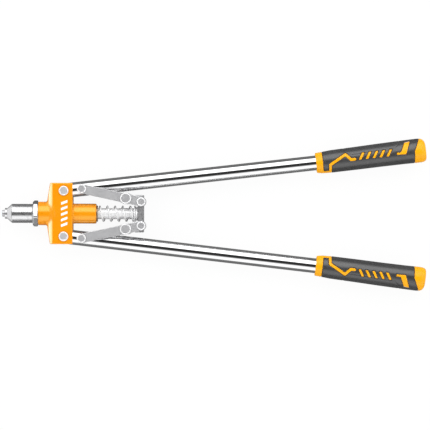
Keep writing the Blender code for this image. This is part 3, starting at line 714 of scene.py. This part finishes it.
def marks():
    """Five plain slanted bars printed on the head's face, where the real one has lettering."""
    made, nodes, shader = surface("white_print_look", Coat_Weight=0.2)
    nodes.put(shader, "Base Color", nodes.cloudy(200.0, 3.0, (0.86, 0.85, 0.82), (0.93, 0.92, 0.90)))
    nodes.put(shader, "Roughness", nodes.spread(nodes.noise(500.0, 2.0), 0.35, 0.5))
    count, apart, front, rear = 5, 5.6, 60.3, 66.3
    corner_r, half_thickness = 0.25, 0.12
    points, faces = [], []
    for number in range(count):
        y = apart * (number - count // 2)

        def bar(px, py, pz, y=y):
            outline = [(front, y - 2.2), (front, y - 0.1), (rear, y + 2.2), (rear, y + 0.1)]
            flat = outline_distance(px, py, outline) - corner_r
            return both(flat, np.abs(pz - FACE_HEIGHT) - half_thickness, 0.08)

        low = (front - 0.9, y - 3.2, FACE_HEIGHT - 0.5)
        high = (rear + 0.9, y + 3.2, FACE_HEIGHT + 0.5)
        some, quads = carve(bar, low, high, 0.14)
        faces += [tuple(len(points) + i for i in q) for q in quads]
        points += [tuple(p) for p in some]
    piece("head_marks", points, faces, TOOL, "head", None, made)


# ---------------------------------------------------------------- pins


def pivot_pin(label):
    """Headed at the front, with a rolled rim round a flat disc that its material paints bright as a
    highlight, and grooved at the back.
    """
    z = AXIS_HEIGHT
    pin, groove, head_r = 3.0, 2.25, 4.8
    groove_back, groove_front, head_back, dish = -13.0, -12.15, 12.2, 0.35
    outline = [
        (-z, 0.0),
        (-z, 2.7, 0.3),
        (-z + 0.3, pin, 0.1),
        (groove_back, pin, 0.1),
        (groove_back, groove, 0.1),
        (groove_front, groove, 0.1),
        (groove_front, pin, 0.1),
        (head_back, pin, 0.1),
        (head_back, head_r, 0.2),
        (head_back + 0.4, head_r, 0.5),
        (z, 4.1, 0.7),
        (z - dish, 3.5, 0.25),
        (z - dish, 0.0),
    ]
    place = upright(ARM[label][:3, 3])
    shape = lathe(soften(outline, 0.2, 5, 0.1), 64)
    add(f"arm_pivot_{label}", shape, place, "head", f"pivot_pin_{label}", "zinc_plate", "pin_face")


def rivet(name, node, at, body, base_r, disc_r, shoulder_r=None):
    """A pin with a dished head at each end, and a thicker middle if it has a shoulder."""
    inner, outer, dish = 11.1, 12.4, 0.4
    pin_r = 2.5
    rim = disc_r + 0.35
    half = [
        (outer - dish, 0.0),
        (outer - dish, disc_r - 0.2, 0.2),
        (outer, rim, 0.55),
        (inner + 0.45, base_r, 0.4),
        (inner, base_r, 0.12),
        (inner, pin_r, 0.1),
    ]
    outline = [(-h[0],) + tuple(h[1:]) for h in half]
    if shoulder_r:
        edge = 7.5
        outline += [(-edge, pin_r, 0.1), (-edge, shoulder_r, 0.3)]
        outline += [(edge, shoulder_r, 0.3), (edge, pin_r, 0.1)]
    outline += list(reversed(half))
    shape = lathe(soften(outline, 0.2, 5, 0.1), 64)
    add(name, shape, upright(at), body, node, "zinc_plate")


# ---------------------------------------------------------------- links


def link_field(x, y, z):
    """A link plate: a bar with round ends, a boss at the spacer and three holes."""
    bar_r, boss_r, hole_r, half_thickness = 4.8, 5.8, 2.8, 1.5
    flat = line_distance(x, y, [(0.0, 0.0), (LINK_LENGTH, 0.0)]) - bar_r
    flat = either(flat, np.hypot(x - SPACER_AT, y) - boss_r, 1.5)
    for at in (0.0, SPACER_AT, LINK_LENGTH):
        flat = np.maximum(flat, hole_r - np.hypot(x - at, y))
    return both(flat, np.abs(z) - half_thickness, 0.4)


def links():
    low = (-5.6, -6.6, -2.2)
    high = (LINK_LENGTH + 5.6, 6.6, 2.2)
    shape = carve(link_field, low, high, 0.33)
    plate_height = 9.3
    for _, label in SIDES:
        body = f"link_{label}"
        for level, which in ((1, "top"), (-1, "back")):
            place = LINK[label].copy()
            place[2, 3] += level * plate_height * MM
            node = f"link_plate_{which}_{label}"
            add(f"link_{which}_{label}", shape, place, body, node, "zinc_plate", "link_face")
        spacer = f"link_spacer_{label}"
        rivet(f"spacer_rivet_{label}", spacer, middle(spacer), body, 5.6, 4.6, 4.0)
        rear = f"crosshead_pin_{label}"
        rivet(f"rear_rivet_{label}", rear, middle(rear), body, 4.4, 3.4)
        front = f"link_pin_{label}"
        rivet(f"front_rivet_{label}", front, middle(front), f"arm_{label}", 4.6, 3.6)


# ---------------------------------------------------------------- pull rod and crosshead


def crosshead_field(x, y, z):
    """A bar with an ear at each end, a notch in each ear that is open to the rear, and the rod's hole."""
    across = np.abs(y)
    front, rear, half_depth = span("crosshead")
    bar_front, bar_end, ear_inner, hole_r = 137.3, 12.0, 8.7, 4.8
    flat = both(x - rear, across - half_width("crosshead"), 1.0)
    ear = both(front - x, ear_inner - across, 1.2)
    flat = both(flat, either(both(bar_front - x, across - bar_end, 0.3), ear, 0.8), 0.6)
    notch_front, notch_y, notch_r = CROSSHEAD_PIN_X + 0.4, CROSSHEAD_PIN_Y + 0.65, 3.45
    notch = line_distance(x, across, [(notch_front, notch_y), (rear + 9.0, notch_y)])
    flat = both(flat, notch_r - notch, 0.5)
    body = both(flat, np.abs(z) - half_depth, 0.6)
    return both(body, hole_r - np.hypot(y, z), 0.3)


def rod():
    """The pull rod, and the washer, thin nut and crosshead on its rear end."""
    front, rear, radius = span("pull_rod")
    shoulder, tail, bore = 133.6, 4.5, 2.6
    thread, thread_end = 5.1, 56.8
    pocket, pocket_end = 3.9, 56.0
    outline = [
        (front, thread - 0.4),
        (front + 0.5, thread),
        (thread_end, thread),
        (thread_end + 0.4, radius, 0.2),
        (shoulder, radius, 0.3),
        (shoulder, tail, 0.2),
        (rear, tail, 0.6),
        (rear, bore, 0.3),
        (pocket_end, bore, 0.3),
        (pocket_end, pocket, 0.3),
        (front, pocket, 0.2),
    ]
    add("pull_rod_shaft", lathe(soften(outline, 0.3), 96), TOOL, "pull_rod", "pull_rod", "chrome", "rod")
    front, rear, radius = span("spring_washer")
    hole = tail + 0.3
    outline = [(front, radius, 0.35), (rear, radius, 0.35), (rear, hole, 0.15), (front, hole, 0.15)]
    add("washer", lathe(soften(outline, 0.2), 96), TOOL, "pull_rod", "spring_washer", "chrome", "rod")
    front, rear, _ = span("rod_lock_nut")
    across = 14.0
    corner = across / math.sqrt(3)
    outline = [
        (front, corner - 0.7, 0.15),
        (front + 0.5, corner, 0.15),
        (rear, corner, 0.15),
        (rear, hole, 0.15),
        (front, hole, 0.15),
    ]
    shape = lathe(soften(outline, 0.15, 3, 0.1), 144, hexagon(across, 0.2))
    add("thin_nut", shape, TOOL, "pull_rod", "rod_lock_nut", "chrome", "rod")
    front, rear, depth = span("crosshead")
    low = (front - 0.9, -20.0, -depth - 0.9)
    high = (rear + 0.9, 20.0, depth + 0.9)
    shape = carve(crosshead_field, low, high, 0.36)
    add("crosshead_yoke", shape, TOOL, "pull_rod", "crosshead", "zinc_plate", "crosshead")


def coil(start, end, coil_r, wire_r, turns, phase):
    """A compression spring whose end turns lie closer together."""
    per_turn, around = 56, 16
    closing, end_pace = 0.75, 0.4
    count = int(turns * per_turn)
    share = np.linspace(0.0, 1.0, count + 1)
    angle = phase + share * turns * math.tau
    ease = 0.5 * closing / turns
    pace = np.minimum(1.0, np.minimum(share, 1 - share) / ease * (1 - end_pace) + end_pace)
    station = np.concatenate([[0.0], np.cumsum((pace[1:] + pace[:-1]) / 2)])
    station = start + (end - start) * station / station[-1]
    centre = np.stack([station, coil_r * np.cos(angle), coil_r * np.sin(angle)], 1)
    tangent = np.gradient(centre, axis=0)
    tangent /= np.linalg.norm(tangent, axis=1)[:, None]
    radial = np.stack([np.zeros_like(angle), np.cos(angle), np.sin(angle)], 1)
    side = np.cross(tangent, radial)
    points, faces = [], []
    for i in range(count + 1):
        for k in range(around):
            a = math.tau * k / around
            points.append(centre[i] + wire_r * (math.cos(a) * radial[i] + math.sin(a) * side[i]))
    for i in range(count):
        for k in range(around):
            j = (k + 1) % around
            low, high = i * around, (i + 1) * around
            faces.append((low + k, high + k, high + j, low + j))
    faces.append(tuple(range(around)))
    faces.append(tuple(reversed(range(count * around, (count + 1) * around))))
    return points, faces


def spring(name, node, body, wire, pitch, phase):
    """A coil spring over its node's span, its end turns closer together."""
    front, rear, outer = span(node)
    start, end = front + wire, rear - wire
    turns = (end - start) / pitch
    shape = coil(start, end, outer - wire, wire, turns, phase)
    made = add(name, shape, TOOL, body, node, "spring_steel")
    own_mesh(made)


def springs():
    """The return spring round the rod, and the jaws' spring inside it."""
    phase = math.radians(273.0)
    spring("coil_spring", "return_spring", "head", 0.75, 7.35, phase)
    spring("jaw_spring_coil", "jaw_spring", "pull_rod", 0.35, 2.4, phase)


# ---------------------------------------------------------------- arms


def drill(made, centre, radius):
    """A round hole through a piece, along Z."""
    reach = 12.0
    points, faces = lathe([(-reach, 0.0), (-reach, radius), (reach, radius), (reach, 0.0)], 48)
    cutter = piece("drill", points, faces, upright(centre[:3]), None, None, None)
    hole = made.modifiers.new("hole", "BOOLEAN")
    hole.operation = "DIFFERENCE"
    hole.solver = "EXACT"
    hole.object = cutter
    bpy.context.view_layer.update()
    cut = made.evaluated_get(bpy.context.evaluated_depsgraph_get())
    solid = bpy.data.meshes.new_from_object(cut)
    made.modifiers.clear()
    made.data = solid
    solid.set_sharp_from_angle(angle=math.radians(50.0))
    bpy.data.objects.remove(cutter)


def tube(label):
    """An arm's tube, with holes for its pivot and for its link's pin."""
    front, end = -7.0, 355.0
    outer, inner = 7.5, 5.9
    outline = [(front, outer, 0.5), (end, outer, 0.4), (end, inner, 0.3), (front, inner, 0.3)]
    # Rings of points on both sides of each hole keep its effect on the shading short.
    beside = 4.5
    stations = (-beside, beside, CRANK - beside, CRANK + beside)
    shape = lathe(divided(soften(outline, 0.4), stations), 128)
    node = f"arm_tube_{label}"
    made = add(f"tube_{label}", shape, ARM[label], f"arm_{label}", node, "chrome", f"chrome_{label}")
    for at, radius in ((0.0, 3.3), (CRANK, 2.8)):
        drill(made, ARM[label] @ np.array([at * MM, 0.0, 0.0, 1.0]), radius)


# ---------------------------------------------------------------- grips

GRIP_FRONT = 256.8
GRIP_LENGTH = 111.9
# Distance from the grip's front, then half sizes outwards, inwards and in depth.
GRIP_STATIONS = np.array((
    (0.0, 9.6, 9.9, 9.8),
    (0.6, 10.0, 10.4, 10.2),
    (5.4, 10.3, 11.2, 10.8),
    (15.4, 11.2, 11.6, 11.6),
    (40.4, 11.8, 11.5, 12.0),
    (65.4, 12.5, 11.2, 12.4),
    (90.4, 13.0, 11.1, 12.7),
    (103.4, 13.2, 11.3, 12.8),
    (107.4, 12.9, 11.2, 12.5),
    (109.9, 11.5, 10.6, 11.4),
    (111.3, 9.6, 9.4, 9.8),
    (GRIP_LENGTH, 7.8, 8.2, 8.2),
))
# The core's shapes that show in the cover, and the cover's shallow pad, as (distance from front, outwards).
ZIGZAG = [(13.4, -11.6), (14.2, -3.7), (30.2, 4.9), (35.5, -0.9), (39.2, -0.8)]
FLAG = [(82.0, 1.0), (86.3, 0.9), (90.9, 10.2), (96.4, 10.9), (91.2, -1.5), (81.9, -1.2)]
CAP = [(99.3, -16.0), (100.4, 0.5), (107.8, 16.0), (117.0, 16.0), (117.0, -16.0)]
PAD = [(30.0, 6.6), (37.0, 3.6), (80.0, 5.6), (86.0, 11.0), (86.0, 18.0), (28.0, 18.0)]


def grip_outside(s, y, z):
    """The grip's rounded body; y is positive away from the tool's centre."""
    table = GRIP_STATIONS
    clamped = np.clip(s, 0.0, GRIP_LENGTH)
    outward, inward, depth = (np.interp(clamped, table[:, 0], table[:, k]) for k in (1, 2, 3))
    reach = np.where(y > 0, outward, inward)
    round_share = np.hypot(y / reach, z / depth)
    side = (round_share - 1.0) * np.minimum(reach, depth)
    return both(side, np.maximum(-s, s - GRIP_LENGTH), 0.4)


def inlay(s, y):
    """Where the hard core shows through: collar, inner strip, zigzag, marks, flag and end cap."""
    collar_end, strip_edge, strip_end, line_half = 6.8, 9.45, 14.9, 1.4
    shown = either(s - collar_end, both(y + strip_edge, s - strip_end, 0.3), 0.8)
    shown = np.minimum(shown, outline_distance(s, y, CAP))
    shown = np.minimum(shown, line_distance(s, y, ZIGZAG) - line_half)
    shown = np.minimum(shown, outline_distance(s, y, FLAG))
    first_bar, apart, bars = 46.4, 7.0, 5
    for number in range(bars):
        shown = np.minimum(shown, bar_distance(s, y, first_bar + apart * number))
    return shown


def bar_distance(s, y, at):
    """Distance from one slanted bar, its corners slightly rounded."""
    lean, half, low, high, round_by = 1.8, 1.3, -1.8, 5.0, 0.35
    outline = [
        (at - lean - half + round_by, low + round_by),
        (at - lean + half - round_by, low + round_by),
        (at + lean + half - round_by, high - round_by),
        (at + lean - half + round_by, high - round_by),
    ]
    return outline_distance(s, y, outline) - round_by


def core_field(x, y, z):
    """The hard core: what shows in the cover, on a sleeve that the tube goes into."""
    s = x - GRIP_FRONT
    radial = np.hypot(y, z)
    shown = both(grip_outside(s, y, z), inlay(s, y), 0.3)
    sleeve_r, sleeve_front, sleeve_end = 9.0, 0.4, 103.9
    sleeve = both(radial - sleeve_r, np.maximum(sleeve_front - s, s - sleeve_end), 0.2)
    body = either(shown, sleeve, 0.15)
    bore_r, bore_end = 7.8, 355.3
    bore = both(radial - bore_r, x - bore_end, 0.1)
    return both(body, -bore, 0.2)


def cover_field(x, y, z):
    """The soft cover, with a fine groove round its pad and a gap round the core's shapes."""
    s = x - GRIP_FRONT
    radial = np.hypot(y, z)
    groove_depth, groove_width, gap, inner_r = 0.28, 0.55, 0.22, 9.25
    groove = groove_depth * np.exp(-((outline_distance(s, y, PAD) / groove_width) ** 2))
    body = grip_outside(s, y, z) + groove
    body = both(body, gap - inlay(s, y), 0.45)
    return both(body, inner_r - radial, 0.2)


def grips():
    """Both grips have the same two shapes, which the arms' frames mirror."""
    pitch = 0.5
    low = (GRIP_FRONT - 1.5, -13.5, -13.8)
    high = (GRIP_FRONT + GRIP_LENGTH + 1.5, 14.5, 13.8)
    core = carve(core_field, low, high, pitch)
    cover = carve(cover_field, low, high, pitch)
    for _, label in SIDES:
        body = f"arm_{label}"
        add(f"grip_hard_{label}", core, ARM[label], body, f"grip_core_{label}", "orange_plastic")
        add(f"grip_soft_{label}", cover, ARM[label], body, f"grip_cover_{label}", "soft_grip")


# ---------------------------------------------------------------- the rest of the CAD, stage and light


def dress_nodes():
    """Every CAD node that still shows gets its slot's procedural material, or plain steel."""
    finish_of = {}
    for entry in frame["record"]["subparts"]:
        finish_of[entry["node"]] = entry["material_slot"]
    for name, node in frame["nodes"].items():
        if node.hide_render:
            continue
        node.data.materials.clear()
        node.data.materials.append(MATERIALS.get(finish_of.get(name), MATERIALS["hard_steel"]))


WHITE = rgb(1.0, 1.0, 1.0)


def world():
    """Plain studio surroundings by direction: two long softboxes and a dark gap overhead.

    Angles are from straight up, towards the side that a box is on; lean is how far a direction tilts
    along the tool."""
    made = bpy.data.worlds.new("studio")
    bpy.context.scene.world = made
    made.use_nodes = True
    tree = made.node_tree
    tree.nodes.clear()
    nodes = Nodes(tree)
    where = nodes.add("ShaderNodeTexCoord").outputs["Generated"]
    split = nodes.add("ShaderNodeSeparateXYZ", {0: where}).outputs
    around = nodes.math("ARCTAN2", split[1], split[2])
    lean = nodes.math("ABSOLUTE", split[0])

    def ramp(value, start, stop):
        inputs = {0: value, 1: start, 2: stop, 3: 0.0, 4: 1.0}
        return nodes.add("ShaderNodeMapRange", inputs, interpolation_type="SMOOTHSTEP").outputs[0]

    def window(value, start, full, fade, stop):
        rise = ramp(value, math.radians(start), math.radians(full))
        fall = ramp(value, math.radians(stop), math.radians(fade))
        return nodes.math("MULTIPLY", rise, fall)

    right_power, left_power = 2.0, 1.15
    edge_power, dark_power, end_power, tilt_power = 0.12, 0.03, 0.85, 0.60
    right = window(around, 15.0, 27.0, 68.0, 84.0)
    left = window(nodes.math("MULTIPLY", around, -1.0), 16.0, 40.0, 70.0, 88.0)
    right = nodes.math("MULTIPLY", right, right_power)
    boxes = nodes.math("ADD", right, nodes.math("MULTIPLY", left, left_power))
    above = ramp(split[2], 0.02, 0.25)
    edge = nodes.math("MULTIPLY", ramp(nodes.math("ABSOLUTE", around), 1.25, 1.5), edge_power)
    edge = nodes.math("ADD", edge, dark_power)
    # What lights matt surfaces: the boxes at full length and bright ends.
    ends = nodes.math("MULTIPLY", ramp(lean, 0.35, 0.75), end_power)
    tilt = nodes.math("MULTIPLY", ramp(lean, 0.30, 0.60), above)
    tilt = nodes.math("MULTIPLY", tilt, tilt_power)
    soft = nodes.math("MULTIPLY", boxes, ramp(lean, 0.90, 0.60))
    soft = nodes.math("ADD", nodes.math("ADD", soft, edge), nodes.math("ADD", ends, tilt))
    # What shows in polished ones: shorter boxes, and ends that darken upwards.
    overhead_loss = 0.62
    upwards = nodes.math("MULTIPLY", ramp(split[2], 0.15, 0.60), overhead_loss)
    upwards = nodes.math("SUBTRACT", 1.0, upwards)
    sharp = nodes.math("MULTIPLY", boxes, ramp(lean, 0.55, 0.28))
    sharp = nodes.math("ADD", nodes.math("ADD", sharp, edge), nodes.math("MULTIPLY", ends, upwards))
    path = nodes.add("ShaderNodeLightPath").outputs
    total = nodes.add("ShaderNodeMix", {0: path["Is Glossy Ray"], 2: soft, 3: sharp}).outputs[0]
    light = nodes.add("ShaderNodeBackground", {"Color": WHITE, "Strength": total}).outputs[0]
    pale = nodes.add("ShaderNodeBackground", {"Color": WHITE, "Strength": 1.0}).outputs[0]
    mix = nodes.add("ShaderNodeMixShader", {0: path["Is Camera Ray"], 1: light, 2: pale})
    output = nodes.add("ShaderNodeOutputWorld")
    tree.links.new(mix.outputs[0], output.inputs["Surface"])


def floor():
    """A plain pale floor, dim in polished surfaces' reflections except ahead of the nose."""
    half, below = 6.0, 0.0002
    dim_power, bright_power, own_light = 0.16, 0.85, 0.94
    bright_from, bright_to = NOSE[0] + 0.005, NOSE[0] - 0.02
    data = bpy.data.meshes.new("floor")
    corners = [(-half, -half, 0.0), (half, -half, 0.0), (half, half, 0.0), (-half, half, 0.0)]
    data.from_pydata(corners, [], [(0, 1, 2, 3)])
    made = bpy.data.objects.new("floor", data)
    made.location = (0.0, 0.0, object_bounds()[0].z - below)
    bpy.context.scene.collection.objects.link(made)
    look = bpy.data.materials.new("floor_look")
    look.use_nodes = True
    tree = look.node_tree
    tree.nodes.clear()
    nodes = Nodes(tree)
    matt = nodes.add("ShaderNodeBsdfDiffuse", {"Color": rgb(0.9, 0.9, 0.9)}).outputs[0]
    glow = nodes.add("ShaderNodeEmission", {"Color": WHITE, "Strength": 1.0}).outputs[0]
    where = nodes.add("ShaderNodeTexCoord").outputs["Object"]
    station = nodes.add("ShaderNodeSeparateXYZ", {0: where}).outputs[0]
    power = nodes.spread(station, dim_power, bright_power, bright_from, bright_to)
    dim = nodes.add("ShaderNodeEmission", {"Color": WHITE, "Strength": power}).outputs[0]
    path = nodes.add("ShaderNodeLightPath").outputs
    pale = nodes.add("ShaderNodeMixShader", {0: own_light, 1: matt, 2: glow}).outputs[0]
    seen = nodes.add("ShaderNodeMixShader", {0: path["Is Camera Ray"], 1: matt, 2: pale}).outputs[0]
    mixed = nodes.add("ShaderNodeMixShader", {0: path["Is Glossy Ray"], 1: seen, 2: dim}).outputs[0]
    output = nodes.add("ShaderNodeOutputMaterial")
    tree.links.new(mixed, output.inputs["Surface"])
    data.materials.append(look)
    made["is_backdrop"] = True


def camera():
    """Straight above the tool, far off and with a long lens."""
    view_width = 0.4361
    aside, down, turn = 0.0007, 0.001, math.radians(0.19)
    data = bpy.data.cameras.new("camera")
    data.lens = 250.0
    data.sensor_width = 36.0
    made = bpy.data.objects.new("camera", data)
    distance = view_width / data.sensor_width * data.lens
    centre = (CAD_LOW + CAD_HIGH) / 2
    made.location = (centre.x + aside, centre.y - down, NOSE[2] + distance)
    made.rotation_euler = (0.0, 0.0, turn)
    bpy.context.scene.collection.objects.link(made)
    bpy.context.scene.camera = made


nose()
head()
marks()
links()
rod()
springs()
for _, label in SIDES:
    pivot_pin(label)
    tube(label)
grips()
dress_nodes()
bpy.context.scene.view_settings.view_transform = "Standard"
world()
floor()
camera()
